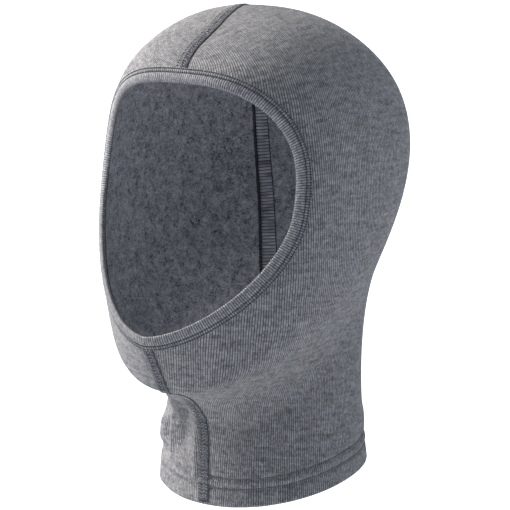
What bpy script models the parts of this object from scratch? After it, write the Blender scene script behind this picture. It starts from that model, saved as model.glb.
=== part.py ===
# A knitted balaclava: one hood that covers the head and the neck and leaves the face open.
# Metres, +Z up. The face looks along -Y, the wearer's left side is +X, and the origin is the
# centre of the head at ear level. Two side panels meet on a seam over the crown and down the
# back, and on a second seam from the chin to the hem. A folded strip binds the face opening.

from math import cos, pi, sin

import bmesh
import bpy
import numpy as np

MM = 0.001
LEFT, RIGHT = 1, -1  # the wearer's own sides
CROWN, CHIN = 0, 1  # the two seams, as shares of the way round from the crown seam

# Overall size.
WIDTH = 160 * MM
DEPTH = 193 * MM
HEIGHT = 279 * MM

# Cloth and thread.
CLOTH = 1.2 * MM
BINDING_CLOTH = 1.0 * MM
THREAD = 0.5 * MM
GAP = 0.3 * MM  # between any two pieces, and between the layers of the hem

# Face binding, measured from the rim of the face opening.
BINDING_WIDTH = 9 * MM
BINDING_ROW_INSET = 0.6 * MM  # from its outer edge to the middle of the outer needle row
BINDING_ROW_SPACING = 2.1 * MM

# Hem, measured up from the lower edge.
HEM_TURN_UP = 18 * MM
HEM_ROW_INSET = 1.5 * MM  # from the turned-up edge down to the middle of the upper needle row
HEM_ROW_SPACING = 6 * MM
NEEDLE_ROW = 0.6 * MM  # width of one row of needle thread

# Seams: how far each thread band reaches to the wearer's right and left of the seam line.
CROWN_BAND = (1.2 * MM, 3.0 * MM)
CROWN_NEEDLE = 4.1 * MM  # middle of the single needle row to the right of the crown band
CHIN_BAND = (4.0 * MM, 4.0 * MM)
LOOPER_BAND = (4.0 * MM, 4.0 * MM)

# The form of the hood, drawn in millimetres at the size in DRAWN as nine rings, evenly spaced
# from the rim of the face opening, over the head and down the neck to the hem. Each ring:
# chin line y and z, crown line y and z, half width, widest place (share of the way from the
# middle to the crown line), squareness of its front and back halves, bow away from the face
# at its sides, and the turn of the crown seam towards the wearer's right in degrees.
DRAWN = (160 * MM, 193 * MM, 279 * MM)
RINGS = (
    (-92, -70, -59, 65, 66.5, 0.09, 1.65, 3.1, 29, 0),
    (-76, -100, -43, 86, 76, 0.14, 1.9, 2.8, 24, 0),
    (-71, -105, 7, 103, 79.5, 0.13, 2.2, 2.55, 20, 4),
    (-62, -108, 66, 85, 78.5, 0.12, 2.3, 2.45, 15, 28),
    (-50, -115, 99, 49, 68.5, 0.08, 2.3, 2.35, 9, 48),
    (-40, -130, 91, -4, 57, 0.03, 2.3, 2.2, 3, 46),
    (-39, -148, 77, -57, 54.5, -0.01, 2.3, 2.15, 0, 37),
    (-39, -164, 71, -109, 56.5, -0.01, 2.2, 2.15, -1, 28),
    (-40, -176, 73, -158, 60, -0.01, 2.1, 2.2, -3, 20),
)

# Mesh density.
FINE = 181  # rows and columns of the reference surface
PANEL_COLUMNS = 20
PANEL_ROWS = 20
FOLD_STEPS = 4

# Distances that follow from the sizes above.
BINDING_OUTER_ROW = BINDING_WIDTH - BINDING_ROW_INSET
BINDING_ROWS = (BINDING_OUTER_ROW - BINDING_ROW_SPACING, BINDING_OUTER_ROW)
HEM_UPPER_ROW = HEM_TURN_UP - HEM_ROW_INSET
HEM_ROWS = (HEM_UPPER_ROW - HEM_ROW_SPACING, HEM_UPPER_ROW)
HEM_RADIUS = CLOTH + GAP / 2
BINDING_RADIUS = CLOTH / 2 + GAP + BINDING_CLOTH
RIM_ZONE = BINDING_WIDTH + 3 * GAP
HEM_ZONE = HEM_TURN_UP + 2 * MM
SEAM_ZONE = max(*CROWN_BAND, CROWN_NEEDLE, *CHIN_BAND) + 4 * THREAD


def smooth_rows(rows, where):
    # Natural cubic curves through evenly spaced rows of values, read at shares 0 to 1.
    rows = np.array(rows, float)
    last = len(rows) - 1
    matrix = np.eye(last + 1)
    pull = np.zeros_like(rows)
    for i in range(1, last):
        matrix[i, i - 1 : i + 2] = (1, 4, 1)
        pull[i] = rows[i - 1] - 2 * rows[i] + rows[i + 1]
    bend = np.linalg.solve(matrix, pull)
    place = np.asarray(where) * last
    low = np.minimum(place.astype(int), last - 1)
    right = (place - low)[:, None]
    left = 1 - right
    ends = left * rows[low] + right * rows[low + 1]
    return ends + (left**3 - left) * bend[low] + (right**3 - right) * bend[low + 1]


def ring_points(ring, angles):
    # Points round one ring: angle 0 is its crown line, pi its chin line, and +X lies between.
    chin_y, chin_z, crown_y, crown_z, half_width, widest, front, back, bow = ring[:9]
    middle = np.array((0, (crown_y + chin_y) / 2, (crown_z + chin_z) / 2))
    reach = np.array((0, (crown_y - chin_y) / 2, (crown_z - chin_z) / 2))
    away = np.array((0, reach[2], -reach[1])) / np.linalg.norm(reach)
    c = np.cos(angles)
    s = np.sin(angles)
    power = 2 / np.where(c > 0, back, front)
    c_square = np.abs(c) ** power
    s_square = np.sign(s) * np.abs(s) ** power
    along = np.where(c > 0, widest + (1 - widest) * c_square, widest - (1 + widest) * c_square)
    points = middle + along[:, None] * reach + (bow * s * s)[:, None] * away
    points[:, 0] += half_width * s_square
    return points * MM * np.array((WIDTH, DEPTH, HEIGHT)) / DRAWN


def evenly_along(points, count):
    # The same curve with its points evenly spaced, and its length.
    steps = np.linalg.norm(np.diff(points, axis=0), axis=1)
    lengths = np.concatenate(([0], np.cumsum(steps)))
    wanted = np.linspace(0, lengths[-1], count)
    return np.stack([np.interp(wanted, lengths, points[:, k]) for k in range(3)], 1), lengths[-1]


def unit(vectors):
    return vectors / np.linalg.norm(vectors, axis=-1, keepdims=True)


def half_hood(side):
    # The outer face of one half: rows run from rim to hem, columns from crown seam to chin seam.
    points = np.empty((FINE, FINE, 3))
    ring_lengths = np.empty(FINE)
    for i, ring in enumerate(smooth_rows(RINGS, np.linspace(0, 1, FINE))):
        angles = np.linspace(-np.radians(ring[9]), side * pi, 8 * FINE)
        points[i], ring_lengths[i] = evenly_along(ring_points(ring, angles), FINE)
    steps = np.linalg.norm(np.diff(points, axis=0), axis=2)
    down = np.concatenate((np.zeros((1, FINE)), np.cumsum(steps, axis=0)))
    across = np.gradient(points, axis=1)
    along = np.gradient(points, axis=0)
    normals = unit(side * np.cross(across, along))
    return {"points": points, "normals": normals, "down": down, "ring_lengths": ring_lengths}


HALVES = {side: half_hood(side) for side in (LEFT, RIGHT)}
for edge in (0, -1):
    shared = unit(HALVES[LEFT]["normals"][:, edge] + HALVES[RIGHT]["normals"][:, edge])
    for half in HALVES.values():
        half["normals"][:, edge] = shared


def read_grid(grid, row, column):
    # A value of a grid between its rows and columns.
    i = int(min(max(row, 0), FINE - 2))
    j = int(min(max(column, 0), FINE - 2))
    u = row - i
    v = column - j
    upper = (1 - v) * grid[i, j] + v * grid[i, j + 1]
    lower = (1 - v) * grid[i + 1, j] + v * grid[i + 1, j + 1]
    return (1 - u) * upper + u * lower


class Column:
    # A line from rim to hem: a side, a share of the way round it, and a distance beyond that.
    def __init__(self, side, share, distance=0.0):
        self.half = HALVES[side]
        self.distance = abs(distance)
        first = share * (FINE - 1)
        ring_length = self.half["ring_lengths"]
        self.columns = first + distance / ring_length * (FINE - 1)
        low = np.clip(self.columns.astype(int), 0, FINE - 2)
        part = self.columns - low
        rows = np.arange(FINE)
        down = self.half["down"]
        self.down = (1 - part) * down[rows, low] + part * down[rows, low + 1]
        self.length = self.down[-1]

    def point(self, down, height):
        # The point this far down from the rim and this far out from the outer face.
        row = np.interp(down, self.down, np.arange(FINE))
        column = np.interp(row, np.arange(FINE), self.columns)
        on_face = read_grid(self.half["points"], row, column)
        return on_face + height * unit(read_grid(self.half["normals"], row, column))


# A row of a piece is (down, height, turn): a point of its face, and the way that its face looks
# there, 0 for outwards, pi / 2 for down the hood and pi for inwards.


def flat_rows(distances, height=0.0, turn=0.0):
    return [(down, height, turn) for down in distances]


def body_distances(length, first):
    # Evenly spaced rows of the part between the face binding and the hem.
    return [first, *np.linspace(RIM_ZONE, length - HEM_ZONE, PANEL_ROWS)]


def panel_rows(length):
    hem_middle = (HEM_ROWS[0] + HEM_ROWS[1]) / 2
    outer = [BINDING_RADIUS] + body_distances(length, BINDING_WIDTH / 2)
    outer += [length - hem_middle, length - HEM_RADIUS]
    inner = [length - HEM_RADIUS, length - hem_middle, length - HEM_TURN_UP]
    fold = []
    for i in range(1, FOLD_STEPS):
        turn = pi * i / FOLD_STEPS
        fold.append(
            (
                length - HEM_RADIUS + HEM_RADIUS * sin(turn),
                HEM_RADIUS * (cos(turn) - 1),
                turn,
            )
        )
    return flat_rows(outer) + fold + flat_rows(inner, -2 * HEM_RADIUS, pi)


def seam_cover_rows(length):
    hem_middle = (HEM_ROWS[0] + HEM_ROWS[1]) / 2
    distances = body_distances(length, BINDING_WIDTH + GAP)
    return flat_rows(distances + [length - hem_middle, length - HEM_RADIUS])


def seam_looper_rows(length):
    return flat_rows(body_distances(length, BINDING_WIDTH + GAP), -CLOTH, pi)


def binding_rows(_length):
    # A strip folded over the panels' edges: outer layer, fold, inner layer.
    outer_height = BINDING_RADIUS - CLOTH / 2
    inner_height = -BINDING_RADIUS - CLOTH / 2
    edges = (BINDING_WIDTH, BINDING_WIDTH / 2, BINDING_RADIUS)
    fold = []
    for i in range(1, FOLD_STEPS):
        turn = -pi * i / FOLD_STEPS
        fold.append(
            (
                BINDING_RADIUS * (1 + sin(turn)),
                BINDING_RADIUS * cos(turn) - CLOTH / 2,
                turn,
            )
        )
    return flat_rows(edges, outer_height) + fold + flat_rows(edges[::-1], inner_height, -pi)


def binding_needle_rows(distance):
    height = BINDING_RADIUS - CLOTH / 2
    edges = (distance - NEEDLE_ROW / 2, distance + NEEDLE_ROW / 2)
    return lambda _length: flat_rows(edges, height)


def binding_looper_rows(_length):
    edges = (BINDING_ROWS[0] - NEEDLE_ROW, BINDING_WIDTH - GAP)
    return flat_rows(edges, -BINDING_RADIUS - CLOTH / 2, -pi)


def hem_needle_rows(up):
    return lambda length: flat_rows((length - up - NEEDLE_ROW / 2, length - up + NEEDLE_ROW / 2))


def hem_looper_rows(length):
    edges = (length - HEM_ROWS[1] - NEEDLE_ROW, length - HEM_ROWS[0] + NEEDLE_ROW)
    return flat_rows(edges, -2 * HEM_RADIUS, pi)


def panel_columns(side):
    inner = [Column(side, i / PANEL_COLUMNS) for i in range(1, PANEL_COLUMNS)]
    crown = [Column(side, CROWN, GAP / 2), Column(side, CROWN, SEAM_ZONE)]
    chin = [Column(side, CHIN, -SEAM_ZONE), Column(side, CHIN, -GAP / 2)]
    return crown + inner + chin


def rim_columns():
    # All the way round the face opening, from the chin up one side and down the other.
    return panel_columns(LEFT)[:0:-1] + [Column(LEFT, CROWN)] + panel_columns(RIGHT)[1:]


def band_columns(seam, band):
    # Across a seam, from the wearer's right to the left.
    away = 1 if seam == CROWN else -1
    return [
        Column(RIGHT, seam, away * band[0]),
        Column(LEFT, seam),
        Column(LEFT, seam, away * band[1]),
    ]


def needle_columns():
    edges = (CROWN_NEEDLE + NEEDLE_ROW / 2, CROWN_NEEDLE - NEEDLE_ROW / 2)
    return [Column(RIGHT, CROWN, edge) for edge in edges]


def hem_columns():
    # All the way round the hem: the same columns as the panels, with more where a thread
    # climbs over the two seams.
    found = []
    for side in (LEFT, RIGHT):
        over_crown = (CROWN_NEEDLE + NEEDLE_ROW if side == RIGHT else CROWN_BAND[1]) + GAP
        over_chin = CHIN_BAND[0] + GAP
        inner = panel_columns(side)[1:-1]
        crown = [Column(side, CROWN, over_crown), Column(side, CROWN, over_crown + 2 * THREAD)]
        chin = [Column(side, CHIN, -over_chin - 2 * THREAD), Column(side, CHIN, -over_chin)]
        lifts = [1, 0] + [0] * len(inner) + [0, 1]
        half = list(zip(crown + inner + chin, lifts))
        if side == LEFT:
            found += [(Column(side, CHIN), 1)] + half[::-1]
        else:
            found += [(Column(side, CROWN), 1)] + half
    columns, lifts = zip(*found)
    return columns, [lift * (THREAD + GAP) for lift in lifts]


def face_points(rows_of, columns, offset, lifts=None):
    # Points of one face of a piece, this far out from the face that its rows give.
    lifts = lifts or [0] * len(columns)
    grid = []
    for column, lift in zip(columns, lifts):
        out = offset + lift
        points = []
        for down, height, turn in rows_of(column.length):
            points.append(column.point(down + out * sin(turn), height + out * cos(turn)))
        grid.append(points)
    return np.array(grid)


def cloth_piece(name, material, rows_of, columns, outer, inner, lifts=None, closed=False):
    # A strip of cloth or thread between two faces, as one closed body.
    mesh = bmesh.new()
    faces = []
    for offset in (outer, inner):
        grid = face_points(rows_of, columns, offset, lifts)
        faces.append([[mesh.verts.new(point) for point in line] for line in grid])
    count = len(columns)
    last_row = len(faces[0][0]) - 1
    for i in range(count if closed else count - 1):
        j = (i + 1) % count
        for k in range(last_row):
            for face in faces:
                mesh.faces.new((face[i][k], face[j][k], face[j][k + 1], face[i][k + 1]))
        for k in (0, last_row):
            mesh.faces.new((faces[0][i][k], faces[0][j][k], faces[1][j][k], faces[1][i][k]))
    if not closed:
        for i in (0, count - 1):
            for k in range(last_row):
                corners = (faces[0][i][k], faces[0][i][k + 1], faces[1][i][k + 1], faces[1][i][k])
                mesh.faces.new(corners)
    bmesh.ops.recalc_face_normals(mesh, faces=mesh.faces)
    data = bpy.data.meshes.new(name)
    mesh.to_mesh(data)
    mesh.free()
    data.shade_smooth()
    data.set_sharp_from_angle(angle=pi / 4)
    data.materials.append(material)
    piece = bpy.data.objects.new(name, data)
    bpy.context.scene.collection.objects.link(piece)
    return piece


def cloth_material(name, colour, roughness):
    material = bpy.data.materials.new(name)
    material.use_nodes = True
    shader = material.node_tree.nodes["Principled BSDF"]
    shader.inputs["Base Color"].default_value = (*colour, 1)
    shader.inputs["Roughness"].default_value = roughness
    shader.inputs["Metallic"].default_value = 0
    return material


def make_hood():
    knit = cloth_material("heather_knit", (0.2, 0.205, 0.22), 0.9)
    trim = cloth_material("ribbed_trim", (0.15, 0.155, 0.17), 0.9)
    thread = cloth_material("sewing_thread", (0.045, 0.046, 0.055), 0.75)
    on_top = (GAP + THREAD, GAP)
    for side, name in ((LEFT, "left_panel"), (RIGHT, "right_panel")):
        cloth_piece(name, knit, panel_rows, panel_columns(side), 0, -CLOTH)

    rim = rim_columns()
    cloth_piece("face_binding", trim, binding_rows, rim, 0, -BINDING_CLOTH)
    for name, distance in zip(("binding_needle_inner", "binding_needle_outer"), BINDING_ROWS):
        cloth_piece(name, thread, binding_needle_rows(distance), rim, *on_top)
    cloth_piece("binding_looper", thread, binding_looper_rows, rim, *on_top)

    for name, seam, band in (
        ("crown_seam", CROWN, CROWN_BAND),
        ("chin_seam", CHIN, CHIN_BAND),
    ):
        cover = band_columns(seam, band)
        looper = band_columns(seam, LOOPER_BAND)
        cloth_piece(name + "_cover", thread, seam_cover_rows, cover, *on_top)
        cloth_piece(name + "_looper", thread, seam_looper_rows, looper, *on_top)
    cloth_piece("crown_seam_needle", thread, seam_cover_rows, needle_columns(), *on_top)

    columns, lifts = hem_columns()
    for name, up in zip(("hem_needle_lower", "hem_needle_upper"), HEM_ROWS):
        cloth_piece(name, thread, hem_needle_rows(up), columns, *on_top, lifts, True)
    cloth_piece("hem_looper", thread, hem_looper_rows, columns, *on_top, None, True)


for old in list(bpy.data.objects):
    bpy.data.objects.remove(old)
make_hood()
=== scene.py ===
from math import cos, pi, radians, sin

import bpy
import numpy as np
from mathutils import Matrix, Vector


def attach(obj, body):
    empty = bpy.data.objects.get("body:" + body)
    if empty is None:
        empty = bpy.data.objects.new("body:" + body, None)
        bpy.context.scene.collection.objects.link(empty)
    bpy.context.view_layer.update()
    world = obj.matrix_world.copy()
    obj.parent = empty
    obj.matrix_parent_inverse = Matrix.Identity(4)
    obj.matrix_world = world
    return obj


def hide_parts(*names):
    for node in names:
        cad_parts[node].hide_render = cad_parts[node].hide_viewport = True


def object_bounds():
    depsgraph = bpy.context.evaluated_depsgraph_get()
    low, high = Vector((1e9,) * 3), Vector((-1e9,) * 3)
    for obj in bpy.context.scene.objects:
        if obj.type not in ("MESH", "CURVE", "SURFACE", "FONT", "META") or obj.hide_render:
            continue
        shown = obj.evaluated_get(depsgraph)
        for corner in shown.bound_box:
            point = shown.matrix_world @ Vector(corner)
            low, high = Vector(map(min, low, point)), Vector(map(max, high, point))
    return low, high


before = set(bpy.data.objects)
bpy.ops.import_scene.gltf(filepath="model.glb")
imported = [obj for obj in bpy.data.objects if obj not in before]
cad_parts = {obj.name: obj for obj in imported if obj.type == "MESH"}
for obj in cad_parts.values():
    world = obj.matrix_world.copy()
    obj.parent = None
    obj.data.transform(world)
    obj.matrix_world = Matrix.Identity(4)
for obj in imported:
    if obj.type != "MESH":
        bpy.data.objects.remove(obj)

mm = 0.001
left, right = 1, -1  # the wearer's own sides
crown, chin = 0, 1  # the two seams, as shares of the way round
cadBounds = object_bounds()
cadSize = np.array(cadBounds[1]) - np.array(cadBounds[0])

# The hood's form: the same rings as the solids, face rim to hem.
hood = {
    "rings": (
        (-92, -70, -59, 65, 66.5, 0.09, 1.65, 3.1, 29, 0),
        (-76, -100, -43, 86, 76, 0.14, 1.9, 2.8, 24, 0),
        (-71, -105, 7, 103, 79.5, 0.13, 2.2, 2.55, 20, 4),
        (-62, -108, 66, 85, 78.5, 0.12, 2.3, 2.45, 15, 28),
        (-50, -115, 99, 49, 68.5, 0.08, 2.3, 2.35, 9, 48),
        (-40, -130, 91, -4, 57, 0.03, 2.3, 2.2, 3, 46),
        (-39, -148, 77, -57, 54.5, -0.01, 2.3, 2.15, 0, 37),
        (-39, -164, 71, -109, 56.5, -0.01, 2.2, 2.15, -1, 28),
        (-40, -176, 73, -158, 60, -0.01, 2.1, 2.2, -3, 20),
    ),
    "drawnSize": (0.1597, 0.192, 0.2796),
    "detail": 301,  # rows and columns of the reference surface
    "ringDetail": 8,  # points round each ring for one of its columns
    "cloth": 1.2 * mm,
    "gap": 0.3 * mm,
    "hemTurnUp": 18 * mm,
    "hemRows": (10.5 * mm, 16.5 * mm),
}
stretch = cadSize / hood["drawnSize"]


def smoothRows(rows, where):
    # natural cubic curves through evenly spaced rows
    rows = np.array(rows, float)
    last = len(rows) - 1
    matrix = np.eye(last + 1)
    pull = np.zeros_like(rows)
    for i in range(1, last):
        matrix[i, i - 1 : i + 2] = (1, 4, 1)
        pull[i] = rows[i - 1] - 2 * rows[i] + rows[i + 1]
    bend = np.linalg.solve(matrix, pull)
    place = np.asarray(where) * last
    low = np.minimum(place.astype(int), last - 1)
    b = (place - low)[:, None]
    a = 1 - b
    return a * rows[low] + b * rows[low + 1] + (a**3 - a) * bend[low] + (b**3 - b) * bend[low + 1]


def ringPoints(ring, angles):
    # angle 0 is the crown line, pi the chin line, +X between them
    chinY, chinZ, crownY, crownZ, halfWidth, widest, front, back, bow = ring[:9]
    middle = np.array((0, (crownY + chinY) / 2, (crownZ + chinZ) / 2))
    reach = np.array((0, (crownY - chinY) / 2, (crownZ - chinZ) / 2))
    away = np.array((0, reach[2], -reach[1])) / np.linalg.norm(reach)
    c, s = np.cos(angles), np.sin(angles)
    power = 2 / np.where(c > 0, back, front)
    cSquare = np.abs(c) ** power
    sSquare = np.sign(s) * np.abs(s) ** power
    along = np.where(c > 0, widest + (1 - widest) * cSquare, widest - (1 + widest) * cSquare)
    points = middle + along[:, None] * reach + (bow * s * s)[:, None] * away
    points[:, 0] += halfWidth * sSquare
    return points * mm * stretch


def pathLengths(path):
    return np.concatenate(([0], np.cumsum(np.linalg.norm(np.diff(path, axis=0), axis=1))))


def readPath(path, wanted, values=None):
    # points, or values given for the path's points, at these lengths along it
    lengths = pathLengths(path)
    values = path if values is None else values
    return np.stack([np.interp(wanted, lengths, values[:, k]) for k in range(3)], 1)


def evenlyAlong(path, count):
    return readPath(path, np.linspace(0, pathLengths(path)[-1], count))


def unit(vectors):
    return vectors / np.linalg.norm(vectors, axis=-1, keepdims=True)


def faceNormals(points, side):
    return unit(side * np.cross(np.gradient(points, axis=1), np.gradient(points, axis=0)))


def shareEdges(halves, key):
    for edge in (0, -1):
        shared = (halves[left][key][:, edge] + halves[right][key][:, edge]) / 2
        for half in halves.values():
            half[key][:, edge] = shared


# Soft folds: the points that each runs through, its height and its width, in millimetres.
folds = {
    "throatRidge": (((-22, -40, -120), (-29, -33, -132), (-28, -33, -149)), 1.3, 2.3),
    "throatHollowLeft": (((-12, -42, -123), (-16, -37, -133), (-18, -36, -142)), -3.4, 6),
    "throatHollowRight": (((-35, -29, -134), (-36, -28, -143)), -2.6, 4),
    "throatSwell": (((-43, -22, -138), (-43, -21, -145)), 2.4, 7),
    "throatDent": (((-44, -21, -119), (-42, -23, -126)), -2.8, 7),
    "throatCrease": (((-43, -21, -153), (-35, -29, -151)), -2.4, 4),
    "hemSwell": (((-42, -24, -160), (-42, -24, -166)), 1.2, 9),
    "besideSeam": (((-3, -49, -116), (-7, -39, -134), (-7, -39, -160)), 0.7, 2.5),
    "underJaw": (((4, -41, -126), (15, -38, -131), (28, -33, -128)), -0.7, 3),
    "neckWave": (((20, -36, -146), (36, -28, -140)), -0.6, 5),
    "backWave": (((48, 48, -132), (50, 46, -137)), 0.8, 4),
    "hemPucker": (((12, -38, -159), (16, -38, -171)), -0.4, 3),
    "hemPuckerBeside": (((30, -32, -156), (33, -30, -170)), -0.4, 3),
}


def foldHeights(points):
    heights = np.zeros(points.shape[:-1])
    for run, height, width in folds.values():
        run = np.array(run) * mm
        away = np.full(heights.shape, np.inf)
        for a, b in zip(run[:-1], run[1:]):
            step = b - a
            along = np.clip(((points - a) @ step) / (step @ step), 0, 1)
            offset = points - a - along[..., None] * step
            away = np.minimum(away, np.linalg.norm(offset, axis=-1))
        heights += height * mm * groove(away, width * mm)
    return heights


def groove(distance, width):
    # 1 at the line itself, falling away smoothly on both sides
    return np.exp(-((distance / width) ** 2))


def makeHalves():
    count = hood["detail"]
    halves = {}
    for side in (left, right):
        points = np.empty((count, count, 3))
        for i, ring in enumerate(smoothRows(hood["rings"], np.linspace(0, 1, count))):
            angles = np.linspace(-np.radians(ring[9]), side * pi, hood["ringDetail"] * count)
            points[i] = evenlyAlong(ringPoints(ring, angles), count)
        halves[side] = {"points": points, "normals": faceNormals(points, side)}
    shareEdges(halves, "normals")
    for side, half in halves.items():
        half["normals"] = unit(half["normals"])
        half["points"] = half["points"] + foldHeights(half["points"])[..., None] * half["normals"]
        half["normals"] = faceNormals(half["points"], side)
    shareEdges(halves, "normals")
    for half in halves.values():
        half["normals"] = unit(half["normals"])
        steps = np.linalg.norm(np.diff(half["points"], axis=0), axis=2)
        half["down"] = np.concatenate((np.zeros((1, count)), np.cumsum(steps, axis=0)))
        around = np.linalg.norm(np.diff(half["points"], axis=1), axis=2)
        half["around"] = around.sum(1)
    return halves


print("shaping the hood")
halves = makeHalves()


def readGrid(grid, row, column):
    # values between the points of a grid
    row, column = np.asarray(row, float), np.asarray(column, float)
    i = np.clip(row.astype(int), 0, grid.shape[0] - 2)
    j = np.clip(column.astype(int), 0, grid.shape[1] - 2)
    u, v = row - i, column - j
    if grid.ndim == 3:
        u, v = u[..., None], v[..., None]
    upper = (1 - v) * grid[i, j] + v * grid[i, j + 1]
    lower = (1 - v) * grid[i + 1, j] + v * grid[i + 1, j + 1]
    return (1 - u) * upper + u * lower


def line(side, share, distance=0.0):
    # a line from rim to hem, at a share of the way round and a distance beyond it
    half = halves[side]
    rows = np.arange(hood["detail"])
    columns = (share + distance / half["around"]) * (hood["detail"] - 1)
    down = readGrid(half["down"], rows, columns)
    return {"half": half, "columns": columns, "down": down, "length": down[-1]}


def onLine(column, down, height):
    # points this far down a line and this far out from the cloth's outer face
    rows = np.arange(hood["detail"])
    row = np.interp(down, column["down"], rows)
    place = np.interp(row, rows, column["columns"])
    outward = unit(readGrid(column["half"]["normals"], row, place))
    return readGrid(column["half"]["points"], row, place) + np.asarray(height)[:, None] * outward


def linePoints(column, rows, out=0.0):
    # rows are (down, height, turn); turn is the way the face looks, 0 out and pi in
    down, height, turn = np.array(rows, float).T
    return onLine(column, down + out * np.sin(turn), height + out * np.cos(turn))


def seamLine(seam, across):
    # a line beside a seam, positive to the wearer's left
    away = abs(across) if seam == crown else -abs(across)
    return line(left if across >= 0 else right, seam, away)


# The run of the knit on each panel.
knitRun = {
    "rows": 61,
    "columns": 41,
    "levelShare": 0.15,  # how much the run still counts where the cloth lies level
    "crownPull": 3.0,  # how far the wales turn towards the crown seam there
    "anchor": 1000,  # how firmly the first point is held
}


def spread(count):
    return np.linspace(0, hood["detail"] - 1, count).round().astype(int)


def layFlat(side):
    # flat coordinates of a panel whose wales run upright: across the wales and up them
    rows, columns = knitRun["rows"], knitRun["columns"]
    picked = np.ix_(spread(rows), spread(columns))
    points, normals = halves[side]["points"][picked], halves[side]["normals"][picked]
    rise = np.array((0, 0, 1)) - normals[..., 2:] * normals
    steepness = np.linalg.norm(rise, axis=-1)
    toCrown = -unit(np.gradient(points, axis=1))
    level = np.clip(normals[..., 2:], 0, 1) * (1 - steepness[..., None])
    up = unit(rise + knitRun["crownPull"] * level * toCrown)
    across = unit(np.cross(up, normals))
    matrix = np.zeros((rows * columns, rows * columns))
    wanted = np.zeros((rows * columns, 2))
    index = np.arange(rows * columns).reshape(rows, columns)
    for first, second in ((np.s_[:-1, :], np.s_[1:, :]), (np.s_[:, :-1], np.s_[:, 1:])):
        step = points[second] - points[first]
        weight = knitRun["levelShare"] + (steepness[first] + steepness[second]) / 2
        weight = (weight / np.linalg.norm(step, axis=-1)).ravel()
        i, j = index[first].ravel(), index[second].ravel()
        for direction, k in ((across, 0), (up, 1)):
            heading = unit(direction[first] + direction[second])
            length = np.einsum("abk,abk->ab", step, heading).ravel()
            np.add.at(wanted[:, k], j, weight * length)
            np.add.at(wanted[:, k], i, -weight * length)
        np.add.at(matrix, (i, i), weight)
        np.add.at(matrix, (j, j), weight)
        np.add.at(matrix, (i, j), -weight)
        np.add.at(matrix, (j, i), -weight)
    matrix[0, 0] += knitRun["anchor"]
    return np.linalg.solve(matrix, wanted).reshape(rows, columns, 2)


print("laying the panels out flat")
patterns = {side: layFlat(side) for side in (left, right)}


def readPattern(side, row, column):
    flat, last = patterns[side], hood["detail"] - 1
    row = np.asarray(row) / last * (flat.shape[0] - 1)
    return readGrid(flat, row, np.asarray(column) / last * (flat.shape[1] - 1))


def put(tree, kind, inputs=None, **settings):
    node = tree.nodes.new(kind)
    for key, value in settings.items():
        setattr(node, key, value)
    for key, value in (inputs or {}).items():
        if isinstance(value, bpy.types.NodeSocket):
            tree.links.new(value, node.inputs[key])
        else:
            node.inputs[key].default_value = value
    return node


def calc(tree, operation, a, b=0.0, c=0.0):
    return put(tree, "ShaderNodeMath", {0: a, 1: b, 2: c}, operation=operation).outputs[0]


def newTree(name, kind, inputs, outputs):
    # a node tree with named sockets, its given values and its results
    tree = bpy.data.node_groups.new(name, kind)
    for way, sockets in (("INPUT", inputs), ("OUTPUT", outputs)):
        for label, socket in sockets:
            tree.interface.new_socket(label, in_out=way, socket_type="NodeSocket" + socket)
    return tree, put(tree, "NodeGroupInput").outputs, put(tree, "NodeGroupOutput").inputs


def newGroup(name, inputs):
    return newTree(name, "ShaderNodeTree", inputs, (("Tone", "Float"), ("Height", "Float")))


def noiseAt(tree, x, y, scale, detail=2.0, roughness=0.5):
    place = put(tree, "ShaderNodeCombineXYZ", {"X": x, "Y": y}).outputs[0]
    values = {"Vector": place, "Scale": scale, "Detail": detail, "Roughness": roughness}
    return put(tree, "ShaderNodeTexNoise", values, noise_dimensions="2D").outputs["Fac"]


knitStitch = {
    "wanderScale": 120.0,
    "legPlace": 0.32,  # where a leg of the V lies, from the middle of its wale to the edge
    "legSharpness": 1.85,
    "legSlant": -0.8,
    "sink": -0.45,  # how far the yarn sinks between one stitch and the next
    "streak": (0.1, 0.5, 3.0, 0.65),  # scale across and along the wales, detail and roughness
    "dash": (0.9, 0.22, 2.0, 0.6),
}
knitInputs = ("Wale", "Course", "Wander", "Streaks", "Dashes", "Own")


def offMiddle(tree, value):
    # 0 in the middle of each whole step and 1 at its ends
    off = calc(tree, "SUBTRACT", calc(tree, "FRACT", value), 0.5)
    return calc(tree, "MULTIPLY", calc(tree, "ABSOLUTE", off), 2.0)


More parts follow.
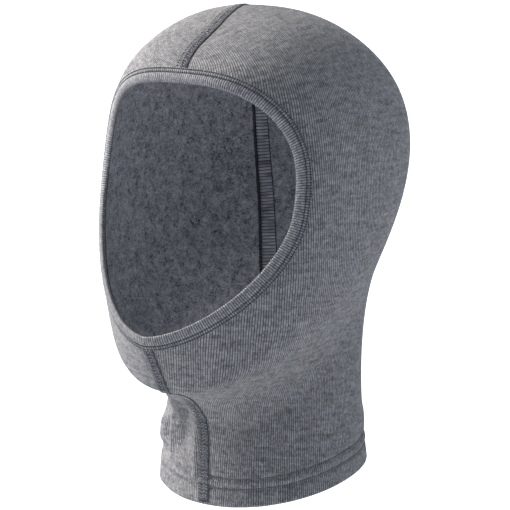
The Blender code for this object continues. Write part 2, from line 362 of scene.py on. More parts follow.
def makeKnitGroup():
    # plain knit: V-shaped stitches in wales along V, with the yarn's own light and dark fibres
    sockets = [("Flat", "Vector")] + [(name, "Float") for name in knitInputs]
    group, given, result = newGroup("knitStitches", sockets)
    place = put(group, "ShaderNodeSeparateXYZ", {0: given["Flat"]}).outputs
    wander = noiseAt(group, place["X"], place["Y"], knitStitch["wanderScale"])
    wander = calc(group, "SUBTRACT", wander, 0.5)
    x = calc(group, "DIVIDE", place["X"], given["Wale"])
    x = calc(group, "MULTIPLY_ADD", wander, given["Wander"], x)
    y = calc(group, "DIVIDE", place["Y"], given["Course"])
    fromMiddle = offMiddle(group, x)
    leg = calc(group, "ABSOLUTE", calc(group, "SUBTRACT", fromMiddle, knitStitch["legPlace"]))
    leg = calc(group, "POWER", calc(group, "MULTIPLY", leg, knitStitch["legSharpness"]), 2.0)
    leg = calc(group, "MAXIMUM", calc(group, "SUBTRACT", 1.0, leg), 0.0)
    slanted = calc(group, "MULTIPLY_ADD", fromMiddle, knitStitch["legSlant"], y)
    along = calc(group, "POWER", offMiddle(group, slanted), 2.0)
    along = calc(group, "MULTIPLY_ADD", along, knitStitch["sink"], 1.0)
    height = calc(group, "MULTIPLY", leg, along)
    cell = {"X": calc(group, "FLOOR", x), "Y": calc(group, "FLOOR", slanted)}
    cell = {"Vector": put(group, "ShaderNodeCombineXYZ", cell).outputs[0]}
    own = put(group, "ShaderNodeTexWhiteNoise", cell, noise_dimensions="2D").outputs["Value"]
    found = []
    for across, up, detail, roughness in (knitStitch["streak"], knitStitch["dash"]):
        scaled = (calc(group, "MULTIPLY", x, across), calc(group, "MULTIPLY", y, up))
        found.append(noiseAt(group, *scaled, 1.0, detail, roughness))
    tone = 0.5
    for value, label in ((found[0], "Streaks"), (found[1], "Dashes"), (own, "Own")):
        value = calc(group, "SUBTRACT", value, 0.5)
        tone = calc(group, "MULTIPLY_ADD", value, given[label], tone)
    group.links.new(tone, result["Tone"])
    group.links.new(height, result["Height"])
    return group


fibres = {"fine": (4.0, 0.65, 1.2), "broadScale": 0.28, "broadDetail": 2.0, "broadWeight": 0.35}


def makeFuzzGroup():
    # short brushed fibres in every direction, read from the piece's own place
    sockets = (("Place", "Vector"), ("Scale", "Float"))
    group, given, result = newGroup("brushedFibres", sockets)
    fine = {"Vector": given["Place"], "Scale": given["Scale"]}
    fine.update(zip(("Detail", "Roughness", "Distortion"), fibres["fine"]))
    fine = put(group, "ShaderNodeTexNoise", fine).outputs["Fac"]
    broad = calc(group, "MULTIPLY", given["Scale"], fibres["broadScale"])
    broad = {"Vector": given["Place"], "Scale": broad, "Detail": fibres["broadDetail"]}
    broad = put(group, "ShaderNodeTexNoise", broad).outputs["Fac"]
    broad = calc(group, "SUBTRACT", broad, 0.5)
    tone = calc(group, "MULTIPLY_ADD", broad, fibres["broadWeight"], fine)
    group.links.new(tone, result["Tone"])
    group.links.new(fine, result["Height"])
    return group


clothShader = {"Specular IOR Level": 0.15, "Sheen Roughness": 0.6}


def startFinish(name, look):
    material = bpy.data.materials.new(name)
    material.use_nodes = True
    shader = material.node_tree.nodes["Principled BSDF"]
    values = {"Roughness": look["roughness"], "Sheen Weight": look["sheen"]}
    for label, value in {**values, **clothShader}.items():
        shader.inputs[label].default_value = value
    return material, material.node_tree, shader


def toneRamp(tree, tone, look):
    ramp = put(tree, "ShaderNodeValToRGB", {"Fac": tone})
    ends = ramp.color_ramp.elements
    for end, position, colour in zip(ends, look["ramp"], (look["dark"], look["light"])):
        end.position = position
        end.color = (*colour, 1)
    return ramp.outputs["Color"]


def shade(tree, colour, amount, low):
    # darker where amount is near 0
    factor = calc(tree, "MULTIPLY_ADD", amount, 1 - low, low)
    values = {"Factor": 1.0, 6: colour, 7: factor}
    mix = put(tree, "ShaderNodeMix", values, data_type="RGBA", blend_type="MULTIPLY")
    return mix.outputs[2]


def bump(tree, shader, height, distance):
    values = {"Height": height, "Distance": distance, "Strength": 1.0}
    tree.links.new(put(tree, "ShaderNodeBump", values).outputs[0], shader.inputs["Normal"])


knitLook = {
    "Wale": 1.3 * mm,
    "Course": 1.1 * mm,
    "Wander": 0.2,
    "Streaks": 0.85,
    "Dashes": 0.5,
    "Own": 0.38,
    "dark": (0.107, 0.111, 0.123),
    "light": (0.5, 0.494, 0.505),
    "ramp": (0.1, 0.9),  # the tones that are fully dark and fully light
    "roughness": 0.95,
    "sheen": 0.12,
    "grooveShade": 0.1,  # brightness left between the wales
    "relief": 0.8 * mm,
}
tapeLook = {
    **knitLook,
    "Wale": 1.9 * mm,
    "Course": 7.0 * mm,
    "Wander": 0,
    "Streaks": 0.5,
    "dark": (0.16, 0.17, 0.19),
    "light": (0.72, 0.74, 0.79),
    "grooveShade": 0.35,
    "relief": 0.4 * mm,
}
trimLook = {
    **knitLook,
    "Wale": 1.4 * mm,
    "Course": 0.9 * mm,
    "Wander": 0,
    "Streaks": 0.5,
    "dark": (0.1, 0.104, 0.115),
    "light": (0.39, 0.39, 0.4),
    "grooveShade": 0.12,
    "relief": 0.15 * mm,
}
threadLook = {
    "dark": (0.02, 0.022, 0.026),
    "light": (0.09, 0.093, 0.102),
    "ramp": (0.3, 0.7),
    "scale": 1100.0,
    "upright": 1,  # below 1 the fibres stand longer upright
    "relief": 0.1 * mm,
    "roughness": 1.0,
    "sheen": 0,
}
brushedLooks = {
    "brushedFleece": {
        **threadLook,
        "dark": (0.045, 0.049, 0.06),
        "light": (0.62, 0.63, 0.67),
        "scale": 720.0,
        "upright": 0.9,
        "relief": 1.2 * mm,
        "sheen": 0.2,
    },
    "darkThread": {**threadLook, "dark": (0.03, 0.032, 0.037), "light": (0.165, 0.168, 0.182)},
    # needle thread, its dark colour partly painted shade of the grooves the rows sink into
    "needleThreadAndPaintedShade": threadLook,
    "coverThread": {**threadLook, "light": (0.085, 0.088, 0.097)},
    # dark thread matting, darkened further as painted shade between the stitches of the seam
    # covers and beside the looper strips
    "threadMattingAndPaintedShade": {**threadLook, "light": (0.075, 0.078, 0.088)},
    "greyThread": {
        **threadLook, "dark": (0.17, 0.17, 0.175), "light": (0.36, 0.36, 0.37), "sheen": 0.2
    },
    "hemThread": {**threadLook, "dark": (0.06, 0.062, 0.068), "light": (0.19, 0.19, 0.2)},
}


def makeKnit(name, look):
    material, tree, shader = startFinish(name, look)
    knit = put(tree, "ShaderNodeGroup", node_tree=knitGroup)
    tree.links.new(put(tree, "ShaderNodeUVMap", uv_map="flat").outputs[0], knit.inputs["Flat"])
    for label in knitInputs:
        knit.inputs[label].default_value = look[label]
    colour = toneRamp(tree, knit.outputs["Tone"], look)
    colour = shade(tree, colour, knit.outputs["Height"], look["grooveShade"])
    tree.links.new(colour, shader.inputs["Base Color"])
    bump(tree, shader, knit.outputs["Height"], look["relief"])
    return material


def makeBrushed(name, look):
    material, tree, shader = startFinish(name, look)
    place = put(tree, "ShaderNodeTexCoord").outputs["Object"]
    values = {0: place, 1: (1, 1, look["upright"])}
    place = put(tree, "ShaderNodeVectorMath", values, operation="MULTIPLY").outputs[0]
    fuzz = put(tree, "ShaderNodeGroup", node_tree=fuzzGroup)
    tree.links.new(place, fuzz.inputs["Place"])
    fuzz.inputs["Scale"].default_value = look["scale"]
    colour = toneRamp(tree, fuzz.outputs["Tone"], look)
    tree.links.new(colour, shader.inputs["Base Color"])
    bump(tree, shader, fuzz.outputs["Height"], look["relief"])
    return material


print("mixing the finishes")
knitGroup = makeKnitGroup()
fuzzGroup = makeFuzzGroup()
finishes = {
    "heatherKnit": makeKnit("heatherKnit", knitLook),
    "ribbedTrim": makeKnit("ribbedTrim", trimLook),
    "looperTape": makeKnit("looperTape", tapeLook),
}
for name, look in brushedLooks.items():
    finishes[name] = makeBrushed(name, look)


def addObject(name, data):
    made = bpy.data.objects.new(name, data)
    bpy.context.scene.collection.objects.link(made)
    return made


def finishMesh(name, mesh, points, faces):
    # faces outwards and smooth
    if signedVolume(points, faces) < 0:
        mesh.flip_normals()
    mesh.shade_smooth()
    return addObject(name, mesh)


def solidBetween(name, outer, inner):
    # one closed body between two grids of points, column by column
    columns, rows = outer.shape[:2]
    corner = np.arange(columns * rows).reshape(columns, rows)
    back = corner + columns * rows

    def quads(grid):
        sides = (grid[:-1, :-1], grid[1:, :-1], grid[1:, 1:], grid[:-1, 1:])
        return np.stack(sides, -1).reshape(-1, 4)

    def rim(front, behind):
        return np.stack((front[:-1], front[1:], behind[1:], behind[:-1]), -1)

    walls = [rim(corner[::-1, 0], back[::-1, 0]), rim(corner[:, -1], back[:, -1])]
    walls += [rim(corner[0], back[0]), rim(corner[-1, ::-1], back[-1, ::-1])]
    faces = np.concatenate([quads(corner), quads(back)[:, ::-1], *walls])
    points = np.concatenate((outer.reshape(-1, 3), inner.reshape(-1, 3)))
    mesh = bpy.data.meshes.new(name)
    mesh.from_pydata(points.tolist(), [], faces.tolist())
    return finishMesh(name, mesh, points, faces)


def signedVolume(points, faces):
    a, b, c, d = (points[faces[:, k]] for k in range(4))
    return np.einsum("ij,ij->", a, np.cross(b, c)) + np.einsum("ij,ij->", a, np.cross(c, d))


def addUv(piece, perVertex):
    layer = piece.data.uv_layers.new(name="flat")
    corners = np.empty(len(piece.data.loops), int)
    piece.data.loops.foreach_get("vertex_index", corners)
    layer.data.foreach_set("uv", perVertex[corners].astype(np.float32).ravel())


def addAttribute(piece, name, values, kind="FLOAT"):
    attribute = piece.data.attributes.new(name, kind, "POINT")
    key = "vector" if kind == "FLOAT_VECTOR" else "value"
    attribute.data.foreach_set(key, np.asarray(values, np.float32).ravel())


def fit(piece, node):
    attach(piece, "root")
    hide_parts(node)


panel = {
    "start": 1.9 * mm,  # the cloth starts this far from the rim, inside the binding
    "columns": (75, 60),  # columns from the crown seam to the throat, and over the throat
    "throatShare": 0.72,
    "seamReach": 8 * mm,  # columns keep to the seams this far out
    "seamStep": 0.5 * mm,
    "rows": (140, 50),  # rows down to the hem, and on it
    "hemReach": 22 * mm,
    "foldSteps": 6,  # round the turned-up edge
    "hemInnerRows": 12,
    "hemGroove": {left: 0.75 * mm, right: 0.3 * mm},  # how far the needle rows pull the cloth in
    "hemSwell": 0.35 * mm,  # and how far it stands out between them
    "hemSwellWidth": 2.4 * mm,
    "seamGroove": 0.12 * mm,
    "grooveWidth": 1.2 * mm,
    "pulled": {  # where thread rows draw the cloth in, from each seam in millimetres
        (left, crown): (3.3,),
        (right, crown): (1.8, 4.1),
        (left, chin): (3.8,),
        (right, chin): (4.3,),
    },
}


def panelRows(length):
    # outer layer, fold and turned-up layer, as (down, height, turn, cloth beyond the edge)
    radius = hood["cloth"] + hood["gap"] / 2
    edge = length - radius
    upper = np.linspace(panel["start"], edge - panel["hemReach"], panel["rows"][0])[:-1]
    lower = np.linspace(edge - panel["hemReach"], edge, panel["rows"][1])
    rows = [(d, 0, 0, 0) for d in np.concatenate((upper, lower))]
    for i in range(1, panel["foldSteps"]):
        turn = pi * i / panel["foldSteps"]
        rows.append((edge + radius * sin(turn), radius * (cos(turn) - 1), turn, radius * turn))
    top = length - hood["hemTurnUp"]
    for d in np.linspace(edge, top, panel["hemInnerRows"]):
        rows.append((d, -2 * radius, pi, radius * pi + edge - d))
    return np.array(rows)


def markFaces(piece, frontCount):
    # the first points are the outer face: faces with none of them take the second finish
    corners = np.empty(len(piece.data.loops), int)
    piece.data.loops.foreach_get("vertex_index", corners)
    starts = np.empty(len(piece.data.polygons), int)
    piece.data.polygons.foreach_get("loop_start", starts)
    isBack = np.stack([corners[starts + k] >= frontCount for k in range(4)]).all(0)
    piece.data.polygons.foreach_set("material_index", isBack.astype(np.int32))


def panelColumns():
    # (share of the way round, distance beyond it)
    reach = panel["seamReach"]
    beside = np.arange(hood["gap"] / 2, reach, panel["seamStep"])
    sides = np.linspace(0, panel["throatShare"], panel["columns"][0])[1:]
    throat = np.linspace(panel["throatShare"], 1, panel["columns"][1])[1:-1]
    between = np.concatenate((sides, throat))
    found = [(crown, d) for d in beside] + [(share, reach * (1 - 2 * share)) for share in between]
    return found + [(chin, -d) for d in beside[::-1]]


def makePanel(side, name, node):
    gridRows = np.arange(hood["detail"])
    outer, inner, flat = [], [], []
    for share, distance in panelColumns():
        column = line(side, share, distance)
        rows = panelRows(column["length"])
        up = column["length"] - rows[:, 0]
        sunk = sum(groove(up - row, panel["grooveWidth"]) for row in hood["hemRows"])
        swollen = groove(up - np.mean(hood["hemRows"]), panel["hemSwellWidth"])
        sunk = panel["hemGroove"][side] * sunk - panel["hemSwell"] * swollen
        front = rows[:, :3].copy()
        front[:, 1] -= sunk * (rows[:, 2] == 0)
        if share in (crown, chin):
            offsets = [abs(distance) - at * mm for at in panel["pulled"][side, share]]
            pulled = sum(groove(offset, panel["grooveWidth"]) for offset in offsets)
            front[:, 1] -= panel["seamGroove"] * pulled * np.cos(rows[:, 2])
        outer.append(linePoints(column, front))
        inner.append(linePoints(column, rows[:, :3], -hood["cloth"]))
        rowPlace = np.interp(rows[:, 0], column["down"], gridRows)
        spot = readPattern(side, rowPlace, np.interp(rowPlace, gridRows, column["columns"]))
        edge = column["length"] - hood["cloth"] - hood["gap"] / 2
        spot[:, 1] -= np.where(rows[:, 3] > 0, rows[:, 3] + edge - rows[:, 0], 0)
        flat.append(spot)
    outer, inner, flat = np.array(outer), np.array(inner), np.array(flat).reshape(-1, 2)
    piece = solidBetween(name, outer, inner)
    addUv(piece, np.concatenate((flat, flat)))
    piece.data.materials.append(finishes["heatherKnit"])
    piece.data.materials.append(finishes["brushedFleece"])
    markFaces(piece, len(flat))
    fit(piece, node)


print("knitting the side panels")
makePanel(left, "leftPanelCloth", "left_panel")
makePanel(right, "rightPanelCloth", "right_panel")


def newNodes(name, *sizes):
    shape = (("Geometry", "Geometry"),)
    inputs = (*shape, *((label, "Float") for label in sizes), ("Material", "Material"))
    return newTree(name, "GeometryNodeTree", inputs, shape)


def finishNodes(tree, shape, material, result):
    solid = put(tree, "GeometryNodeRealizeInstances", {"Geometry": shape}).outputs[0]
    values = {"Geometry": solid, "Material": material}
    tree.links.new(put(tree, "GeometryNodeSetMaterial", values).outputs[0], result[0])


def runNodes(piece, tree, values):
    # the tree's result as a plain mesh in the same object
    modifier = piece.modifiers.new("nodes", "NODES")
    modifier.node_group = tree
    for item in tree.interface.items_tree:
        if item.in_out == "INPUT" and item.name in values:
            modifier[item.identifier] = values[item.name]
    graph = bpy.context.evaluated_depsgraph_get()
    made = bpy.data.meshes.new_from_object(piece.evaluated_get(graph))
    piece.modifiers.clear()
    old = piece.data
    piece.data = made
    made.name = piece.name
    bpy.data.meshes.remove(old)
    return piece


def attribute(tree, name, kind):
    return put(tree, "GeometryNodeInputNamedAttribute", {"Name": name}, data_type=kind).outputs[0]


stitchShape = {"arcSteps": 6, "sides": 5}


def makeStitchNodes():
    # a stitch of thread on every point, lying along "ahead" and standing out along "outward"
    tree, given, result = newNodes("threadStitches", "Thickness", "Rise")
    middle = calc(tree, "DIVIDE", given["Rise"], given["Thickness"])
    middle = put(tree, "ShaderNodeCombineXYZ", {"Z": middle}).outputs[0]
    arc = {"Start": (-0.5, 0, 0), "Middle": middle, "End": (0.5, 0, 0)}
    arc["Resolution"] = stitchShape["arcSteps"]
    arc = put(tree, "GeometryNodeCurveQuadraticBezier", arc).outputs[0]
    ring = {"Resolution": stitchShape["sides"], "Radius": 0.5}
    ring = put(tree, "GeometryNodeCurvePrimitiveCircle", ring).outputs[0]
    tube = {"Curve": arc, "Profile Curve": ring, "Fill Caps": True}
    tube = put(tree, "GeometryNodeCurveToMesh", tube).outputs[0]
    ahead = attribute(tree, "ahead", "FLOAT_VECTOR")
    outward = attribute(tree, "outward", "FLOAT_VECTOR")
    turn = {"Primary Axis": outward, "Secondary Axis": ahead}
    axes = {"primary_axis": "Z", "secondary_axis": "X"}
    turn = put(tree, "FunctionNodeAxesToRotation", turn, **axes).outputs[0]
    length = put(tree, "ShaderNodeVectorMath", {0: ahead}, operation="LENGTH").outputs["Value"]
    size = {"X": length, "Y": given["Thickness"], "Z": given["Thickness"]}
    size = put(tree, "ShaderNodeCombineXYZ", size).outputs[0]
    placed = {"Points": given["Geometry"], "Instance": tube, "Rotation": turn, "Scale": size}
    placed = put(tree, "GeometryNodeInstanceOnPoints", placed).outputs[0]
    finishNodes(tree, placed, given["Material"], result)
    return tree


def makeRibNodes():
    # the surface stands out in a wave along "alongStrip", as much as "ribShare" says
    tree, given, result = newNodes("stripRibs", "Pitch", "Height")
    turns = calc(tree, "DIVIDE", attribute(tree, "alongStrip", "FLOAT"), given["Pitch"])
    wave = calc(tree, "COSINE", calc(tree, "MULTIPLY", turns, 2 * pi))
    height = calc(tree, "MULTIPLY", wave, given["Height"])
    height = calc(tree, "MULTIPLY", height, attribute(tree, "ribShare", "FLOAT"))
    offset = {0: put(tree, "GeometryNodeInputNormal").outputs[0], "Scale": height}
    offset = put(tree, "ShaderNodeVectorMath", offset, operation="SCALE").outputs[0]
    moved = {"Geometry": given["Geometry"], "Offset": offset}
    moved = put(tree, "GeometryNodeSetPosition", moved).outputs[0]
    finishNodes(tree, moved, given["Material"], result)
    return tree


stitchNodes = makeStitchNodes()
ribNodes = makeRibNodes()


def sew(name, stitches, thickness, rise, finish, node):
    # stitches are (start, end, outward) arrays
    start, end, outward = (np.concatenate(part) for part in zip(*stitches))
    mesh = bpy.data.meshes.new(name)
    mesh.from_pydata(((start + end) / 2).tolist(), [], [])
    piece = addObject(name, mesh)
    addAttribute(piece, "ahead", end - start, "FLOAT_VECTOR")
    addAttribute(piece, "outward", outward, "FLOAT_VECTOR")
    values = {"Thickness": thickness, "Rise": rise, "Material": finishes[finish]}
    runNodes(piece, stitchNodes, values)
    piece.data.shade_smooth()
    fit(piece, node)


def runningStitches(path, outward, length, gap):
    total = pathLengths(path)[-1]
    starts = np.arange(0, total - length, length + gap)
    facing = readPath(path, starts + length / 2, outward)
    return readPath(path, starts), readPath(path, starts + length), unit(facing)


def crossingStitches(first, second, outward, pitch, slant, wobble=0.2):
    # from one path to another beside it, each ending further along by the slant, not quite evenly
    total = pathLengths(first)[-1]
    starts = np.arange(max(0, -slant), total - max(0, slant), pitch)
    off = np.random.default_rng(len(starts)).normal(0, wobble * pitch, (2, len(starts)))
    ends = (starts + slant + off[1]) * pathLengths(second)[-1] / total
    facing = readPath(first, starts, outward)
    return readPath(first, starts + off[0]), readPath(second, ends), unit(facing)


binding = {
    # closed outline of the folded strip: (distance from the rim, height) in millimetres
    "outline": (
        (9, 0.35), (9, 1.1), (8.4, 0.35), (7.4, 1.1), (6.3, 0.25), (5.2, 1.2),
        (3, 1.1), (1.2, 0.4), (0.3, -0.5), (1.2, -1.5), (3, -1.95), (6.3, -2.1),
        (9, -2.2), (9, -1.5), (2, -1.45), (1.4, -0.6), (2, 0.25),
    ),
    "ribbedCount": 13,  # outline points of both layers, without the slot for the panels
    "cutWidth": 22 * mm,  # the strip laid flat: two layers and their folds
    "columns": 850,
    "measuredAt": 4 * mm,  # the strip's length is taken this far from the rim
    "ribPitch": 1.4 * mm,
    "ribHeight": 0.13 * mm,
    "endGap": 0.15 * mm,
    "needleRows": {"inner": 6.3 * mm, "outer": 8.4 * mm},
    "needleHeight": 0.7 * mm,
    "needleRise": 0.15 * mm,
    "stitch": 1.8 * mm,
    "stitchGap": 0.8 * mm,
    "thread": 0.7 * mm,
    "looperRows": (5.9 * mm, 8.6 * mm),
    "looperHeight": -2.5 * mm,
    "looperRise": 0.1 * mm,
    "looperPitch": 1.8 * mm,
    "looperSlants": (0.9 * mm, -0.9 * mm),
}


def roundOff(outline, shares):
    # corner cutting once: two points on each edge
    made = []
    for values in (np.array(outline, float), np.array(shares, float)[:, None]):
        after = np.roll(values, -1, 0)
        cutCorners = (0.75 * values + 0.25 * after, 0.25 * values + 0.75 * after)
        made.append(np.stack(cutCorners, 1).reshape(-1, values.shape[1]))
    return made[0], made[1].ravel()


def rimLines():
    # from the chin up the left side, over the crown and down the right side
    count, gap = binding["columns"], binding["endGap"]
    found = [line(left, share, -gap * share) for share in np.linspace(1, 0, count)]
    return found + [line(right, share, -gap * share) for share in np.linspace(0, 1, count)[1:]]


def alongRim(lines):
    down = np.array((binding["measuredAt"],))
    return pathLengths(np.array([onLine(column, down, np.zeros(1))[0] for column in lines]))


def makeBinding(lines):
    shares = np.arange(len(binding["outline"])) < binding["ribbedCount"]
    outline, ribShare = roundOff(binding["outline"], shares)
    outline = outline * mm
    points = np.array([onLine(column, outline[:, 0], outline[:, 1]) for column in lines])
    piece = tubeOf("faceBinding", points)
    along = alongRim(lines)
    addAttribute(piece, "alongStrip", np.repeat(along, len(outline)))
    addAttribute(piece, "ribShare", np.tile(ribShare, len(lines)))
    # the trim's wales run across the strip
    wales = along[:, None] + binding["ribPitch"] / 2
    spots = np.stack(np.broadcast_arrays(wales, pathLengths(outline)[None]), -1)
    addUv(piece, spots.reshape(-1, 2))
    values = {"Pitch": binding["ribPitch"], "Height": binding["ribHeight"]}
    runNodes(piece, ribNodes, {**values, "Material": finishes["ribbedTrim"]})
    fit(piece, "face_binding")


def tubeOf(name, points):
    # a closed tube through rings of points, with flat ends
    rings, steps = points.shape[:2]
    corner = np.arange(rings * steps).reshape(rings, steps)
    after = np.roll(corner, -1, 1)
    sides = np.stack((corner[:-1], corner[1:], after[1:], after[:-1]), -1).reshape(-1, 4)
    points = points.reshape(-1, 3)
    mesh = bpy.data.meshes.new(name)
    faces = sides.tolist() + [corner[0].tolist(), corner[-1, ::-1].tolist()]
    mesh.from_pydata(points.tolist(), [], faces)
    return finishMesh(name, mesh, points, sides)


def rimPath(lines, distance, height):
    down = np.full(2, distance)
    pairs = [onLine(column, down, np.array((height, height + mm))) for column in lines]
    points = np.array([pair[0] for pair in pairs])
    return points, unit(np.array([pair[1] - pair[0] for pair in pairs]))


print("folding the face binding")
rim = rimLines()
makeBinding(rim)
for edge, distance in binding["needleRows"].items():
    path, outward = rimPath(rim, distance, binding["needleHeight"])
    row = runningStitches(path, outward, binding["stitch"], binding["stitchGap"])
    name = "bindingNeedle" + edge.capitalize() + "Stitches"
    # dark needle thread: the darkness is partly painted shade of the channel
    look = (binding["thread"], binding["needleRise"], "needleThreadAndPaintedShade")
    sew(name, [row], *look, "binding_needle_" + edge)

near, far = (rimPath(rim, at, binding["looperHeight"]) for at in binding["looperRows"])
zigzag = [
    crossingStitches(near[0], far[0], -near[1], binding["looperPitch"], slant)
    for slant in binding["looperSlants"]
]
look = (binding["thread"], binding["looperRise"], "darkThread")
sew("bindingLooperStitches", zigzag, *look, "binding_looper")


# Both flat seams. Places across a seam are in millimetres, positive to the wearer's left.
bands = {
    "rows": 420,
    "ribRows": 1300,
    "pathPoints": 600,
    "columns": 11,
    "start": 9.3 * mm,
    "hemClear": 1.65 * mm,  # the bands end this far above the hem's edge
    "turnUpClear": 1 * mm,  # and inside, this far above the turned-up cloth
    "backing": 0.6,  # a band's back stands off the cloth by this share of its base
    "ribFade": 1.6,  # how soon the ribs reach full height from a strip's edge
    "threadHeight": 0.22 * mm,
}
crownSeam = {
    "cover": {"edges": (-1.6, 3.1), "base": 0.08 * mm, "rise": 0.12 * mm},
    "edgeRows": (-1.2, 2.7),
    "edgeStitch": (2.0 * mm, 0.5 * mm),  # length and gap
    # crossing threads: (from, to, slant, pitch)
    "crossings": ((-1.2, 0.9, 1.0, 1.5), (0.9, 2.7, -1.0, 1.5)),
    "flecks": ((-1.0, 0.4, -0.6, 1.5), (0.7, 1.7, 0.7, 2.1)),
    "thread": (0.5 * mm, 0.12 * mm, "coverThread"),  # thickness, rise and finish
    "fleckThread": (0.3 * mm, 0.2 * mm, "greyThread"),
    "needleRow": -4.1,
    "needleHeight": 0.05 * mm,
    "needleStitch": (2.2 * mm, 0.4 * mm),
    # dark needle thread: the darkness is partly painted shade of the groove beside the seam
    "needleThreadAndPaintedShade": (0.5 * mm, 0.1 * mm, "needleThreadAndPaintedShade"),
    "sideThreads": (-3.9, -1.3, 0.6, 1.6),
    "sideHeight": 0.15 * mm,
    "sideThread": (0.42 * mm, 0.12 * mm, "greyThread"),
}
chinSeam = {
    "cover": {"edges": (-4.1, 3.6), "base": 0.08 * mm, "rise": 0.12 * mm},
    # from the middle out, on both sides
    "crossings": ((0.2, 1.8, -1.0, 1.1), (1.8, 3.4, 1.0, 1.1)),
    "flecks": ((-3.2, -1.9, 0.8, 1.9), (-0.9, 0.4, -0.8, 1.9), (1.4, 2.7, 0.8, 1.9)),
    "thread": (0.5 * mm, 0.15 * mm, "darkThread"),
    "fleckThread": (0.3 * mm, 0.2 * mm, "greyThread"),
    "fleckLift": 0.08 * mm,
}
loopers = {
    "strip": {"edges": (-4.0, 6.0), "base": 0.1 * mm, "rise": 0.5 * mm},
    "ribPitch": 1.9 * mm,
    "ribHeight": 0.2 * mm,
    # the far edge is a wide dark roll of painted shadow where the strip stands proud of the
    # fleece; the near edge is a thin dark thread row
    "edges": {"LooperFarEdgePaintedShadow": (-4.9, 1.9 * mm), "LooperNearEdge": (6.2, 0.5 * mm)},
    "edgeGap": 0.05 * mm,
    "edgeStitch": (2.2 * mm, 0.2 * mm),
    "edgeRise": 0.1 * mm,
}


def bandEnd(inside):
    return hood["hemTurnUp"] + bands["turnUpClear"] if inside else bands["hemClear"]


def bandStrip(name, seam, look, finish, inside=False, ribHeight=0.0):
    # a low rounded strip along a seam, in the finish given: under the seam covers a dark base of
    # thread matting with painted shade between the stitches, inside a looper tape
    count = bands["ribRows"] if ribHeight else bands["rows"]
    across = np.linspace(*look["edges"], bands["columns"]) * mm
    middle, half = np.mean(look["edges"]) * mm, np.ptp(look["edges"]) / 2 * mm
    profile = np.clip(1 - ((across - middle) / half) ** 2, 0, 1)
    turn, height = (pi, -hood["cloth"]) if inside else (0, 0)
    outer, inner = [], []
    for place, share in zip(across, profile):
        column = seamLine(seam, place)
        down = np.linspace(bands["start"], column["length"] - bandEnd(inside), count)
        rows = np.stack((down, np.full_like(down, height), np.full_like(down, turn)), 1)
        outer.append(linePoints(column, rows, look["base"] + look["rise"] * share))
        inner.append(linePoints(column, rows, look["base"] * bands["backing"]))
    outer, inner = np.array(outer), np.array(inner)
    piece = solidBetween(name, outer, inner)
    # ribs stand square to the middle of the strip
    spine = outer[len(outer) // 2]
    ahead = unit(np.gradient(spine, axis=0))
    along = (pathLengths(spine) + np.einsum("abk,bk->ab", outer - spine, ahead)).ravel()
    addAttribute(piece, "alongStrip", np.tile(along, 2))
    share = np.repeat(np.clip(profile * bands["ribFade"], 0, 1), count)
    addAttribute(piece, "ribShare", np.concatenate((share, 0 * share)))
    spots = np.stack((along + loopers["ribPitch"] / 2, np.repeat(across, count)), 1)
    addUv(piece, np.concatenate((spots, spots)))
    values = {"Pitch": loopers["ribPitch"], "Height": ribHeight}
    return runNodes(piece, ribNodes, {**values, "Material": finishes[finish]})


def bandPath(seam, across, height, inside=False):
    # along a seam, this far to the wearer's left of it
    column = seamLine(seam, across * mm)
    end = column["length"] - bandEnd(inside)
    down = np.linspace(bands["start"], end, bands["pathPoints"])
    points = onLine(column, down, np.full(len(down), height))
    outward = unit(onLine(column, down, np.full(len(down), height + mm)) - points)
    return points, -outward if inside else outward


def crossBand(seam, threads, height, turn=1):
    # threads that cross a band between two places
    first, second, slant, pitch = threads
    near, outward = bandPath(seam, turn * first, height)
    far = bandPath(seam, turn * second, height)[0]
    return crossingStitches(near, far, outward, pitch * mm, slant * mm)


def rowOnBand(seam, across, height, stitch, inside=False):
    return runningStitches(*bandPath(seam, across, height, inside), *stitch)


print("sewing the crown seam")
# the crown cover's base: dark thread matting with painted shade between the stitches
cover = bandStrip("crownCoverBase", crown, crownSeam["cover"], "threadMattingAndPaintedShade")
fit(cover, "crown_seam_cover")
height = bands["threadHeight"]
stitches = [rowOnBand(crown, a, height, crownSeam["edgeStitch"]) for a in crownSeam["edgeRows"]]
stitches += [crossBand(crown, threads, height) for threads in crownSeam["crossings"]]
sew("crownCoverStitches", stitches, *crownSeam["thread"], "crown_seam_cover")
flecks = [crossBand(crown, threads, height) for threads in crownSeam["flecks"]]
sew("crownCoverFlecks", flecks, *crownSeam["fleckThread"], "crown_seam_cover")
row = (crownSeam["needleRow"], crownSeam["needleHeight"], crownSeam["needleStitch"])
row = rowOnBand(crown, *row)
sew("crownNeedleStitches", [row], *crownSeam["needleThreadAndPaintedShade"], "crown_seam_needle")
light = [crossBand(crown, crownSeam["sideThreads"], crownSeam["sideHeight"])]
sew("crownCrossThreads", light, *crownSeam["sideThread"], "crown_seam_cover")

print("sewing the chin seam")
# the chin cover's base: dark thread matting with painted shade between the stitches
cover = bandStrip("chinCoverBase", chin, chinSeam["cover"], "threadMattingAndPaintedShade")
fit(cover, "chin_seam_cover")
stitches = [
    crossBand(chin, threads, height, side)
    for side in (left, right)
    for threads in chinSeam["crossings"]
]
sew("chinCoverStitches", stitches, *chinSeam["thread"], "chin_seam_cover")
flecks = [crossBand(chin, t, height + chinSeam["fleckLift"]) for t in chinSeam["flecks"]]
sew("chinCoverFlecks", flecks, *chinSeam["fleckThread"], "chin_seam_cover")

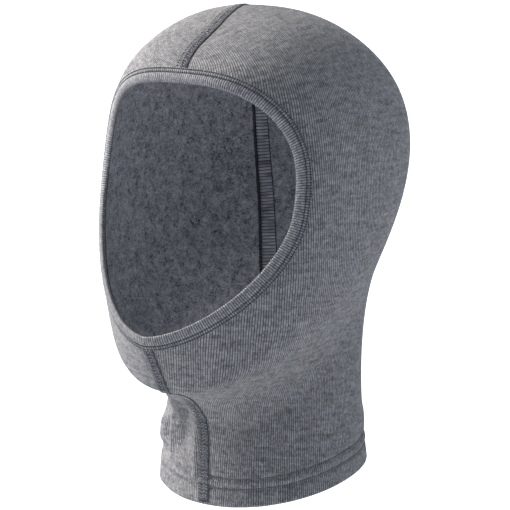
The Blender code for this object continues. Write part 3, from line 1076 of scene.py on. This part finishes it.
print("sewing the loopers inside")
for seam, label in ((crown, "crown"), (chin, "chin")):
    node = label + "_seam_looper"
    strip = (loopers["strip"], "looperTape", True, loopers["ribHeight"])
    fit(bandStrip(label + "LooperBase", seam, *strip), node)
    for name, (across, thickness) in loopers["edges"].items():
        depth = -hood["cloth"] - thickness / 2 - loopers["edgeGap"]
        row = rowOnBand(seam, across, depth, loopers["edgeStitch"], True)
        # both edge rows take the dark matting finish; the wide far row is painted shadow
        look = (thickness, loopers["edgeRise"], "threadMattingAndPaintedShade")
        sew(label + name, [row], *look, node)


hem = {
    "thread": 0.42 * mm,
    "rise": 0.1 * mm,
    "stitch": 2.3 * mm,
    "stitchGap": 0.35 * mm,
    "sink": 0.45 * mm,  # the thread lies this far in, in its groove
    "bandLift": 0.75 * mm,  # and this far out where it climbs over a seam band
    "bandReach": {left: (3.6, 4.6), right: (1.8, 4.6)},  # crown and chin band, in millimetres
    "climb": 4,  # how steeply it climbs
    "looperGap": 0.3 * mm,
    "looperPitch": 1.8 * mm,
    "looperSlants": (0.9 * mm, -0.9 * mm),
}


def hemLines(count=500):
    # all the way round, with the distance from each seam
    found = []
    for side, shares in ((left, np.linspace(1, 0, count)), (right, np.linspace(0, 1, count))):
        for share in shares[:-1]:
            away = halves[side]["around"][-1] * np.array((share, 1 - share))
            found.append((line(side, share), side, away))
    return found


def bandLift(side, away):
    # how far a hem thread stands out to clear the seam bands
    beyond = away / mm - hem["bandReach"][side]
    return hem["bandLift"] * max(1 / (1 + np.exp(beyond * hem["climb"])))


def hemPath(lines, up, height, turn=1, lift=True):
    points, outward = [], []
    for column, side, away in lines:
        out = height + (bandLift(side, away) if lift else 0)
        down = np.full(2, column["length"] - up)
        pair = onLine(column, down, np.array((out, out + turn * mm)))
        points.append(pair[0])
        outward.append(pair[1] - pair[0])
    return np.array(points + points[:1]), unit(np.array(outward + outward[:1]))


print("sewing the hem")
hemRound = hemLines()
for up, edge in zip(hood["hemRows"], ("lower", "upper")):
    row = runningStitches(*hemPath(hemRound, up, -hem["sink"]), hem["stitch"], hem["stitchGap"])
    name = "hemNeedle" + edge.capitalize() + "Stitches"
    sew(name, [row], hem["thread"], hem["rise"], "hemThread", "hem_needle_" + edge)
deep = -2 * hood["cloth"] - hood["gap"] - hem["looperGap"]
near, far = (hemPath(hemRound, up, deep, -1, False) for up in hood["hemRows"])
zigzag = [
    crossingStitches(near[0], far[0], near[1], hem["looperPitch"], slant)
    for slant in hem["looperSlants"]
]
sew("hemLooperStitches", zigzag, hem["thread"], hem["rise"], "darkThread", "hem_looper")


view = {
    "azimuth": 37.5,
    "elevation": 10.5,
    "distance": 1.5,
    "right": 5.1 * mm,
    "up": -37.7 * mm,
    "lens": 187.2,
    "sensor": 36,
    "clipEnd": 200,
}
studio = {
    "floorDrop": 1.0,
    "floorSize": 80,
    "floorColour": (0.6, 0.6, 0.6),
    "floorLook": {"roughness": 0.9, "sheen": 0},
    "floorTint": (0.87, 0.905, 1.0),
    "floorGlow": 0.4,  # only where the camera sees the floor itself
    "floorBounce": 0.95,
    "world": (0.73, 0.87, 1.0),
    "worldStrength": 0.52,
    "lightDistance": 1.6,
    "lightSize": 0.9,
    # azimuth and elevation that each comes from, its power and its colour
    "key": (-80, 43, 105, (1.0, 0.935, 0.895)),
    "fill": (150, 35, 8, (1.0, 1.0, 1.0)),
    "side": (-72, 4, 27, (1.0, 0.95, 0.93)),
}


def awayFrom(azimuth, elevation):
    # a unit vector: azimuth 0 is straight ahead of the face, positive towards the wearer's left
    a, e = radians(azimuth), radians(elevation)
    return Vector((sin(a) * cos(e), -cos(a) * cos(e), sin(e)))


def placeCamera():
    back = awayFrom(view["azimuth"], view["elevation"])
    a = radians(view["azimuth"])
    across = Vector((cos(a), sin(a), 0))
    upward = back.cross(across)
    camera = addObject("camera", bpy.data.cameras.new("camera"))
    camera.location = across * view["right"] + upward * view["up"] + back * view["distance"]
    camera.rotation_euler = back.to_track_quat("Z", "Y").to_euler()
    camera.data.lens = view["lens"]
    camera.data.sensor_width = view["sensor"]
    camera.data.clip_end = view["clipEnd"]
    bpy.context.scene.camera = camera


def placeFloor():
    half = studio["floorSize"] / 2
    low = cadBounds[0][2] - studio["floorDrop"]
    corners = [(x * half, y * half, low) for x, y in ((-1, -1), (1, -1), (1, 1), (-1, 1))]
    mesh = bpy.data.meshes.new("floor")
    mesh.from_pydata(corners, [], [(0, 1, 2, 3)])
    floor = addObject("floor", mesh)
    material, tree, shader = startFinish("paleFloor", studio["floorLook"])
    shader.inputs["Base Color"].default_value = (*studio["floorColour"], 1)
    shader.inputs["Emission Color"].default_value = (*studio["floorTint"], 1)
    seen = put(tree, "ShaderNodeLightPath").outputs["Is Camera Ray"]
    glow = calc(tree, "MULTIPLY_ADD", seen, studio["floorGlow"], studio["floorBounce"])
    tree.links.new(glow, shader.inputs["Emission Strength"])
    mesh.materials.append(material)


def placeLight():
    world = bpy.data.worlds.new("studio")
    bpy.context.scene.world = world
    world.use_nodes = True
    sky = world.node_tree.nodes["Background"]
    sky.inputs["Color"].default_value = (*studio["world"], 1)
    sky.inputs["Strength"].default_value = studio["worldStrength"]
    for name in ("key", "fill", "side"):
        light = addObject(name, bpy.data.lights.new(name, "AREA"))
        azimuth, elevation, light.data.energy, light.data.color = studio[name]
        toward = awayFrom(azimuth, elevation)
        light.location = toward * studio["lightDistance"]
        light.rotation_euler = toward.to_track_quat("Z", "Y").to_euler()
        light.data.size = studio["lightSize"]


print("setting the studio")
placeCamera()
placeFloor()
placeLight()
bpy.context.scene.view_settings.view_transform = "Standard"
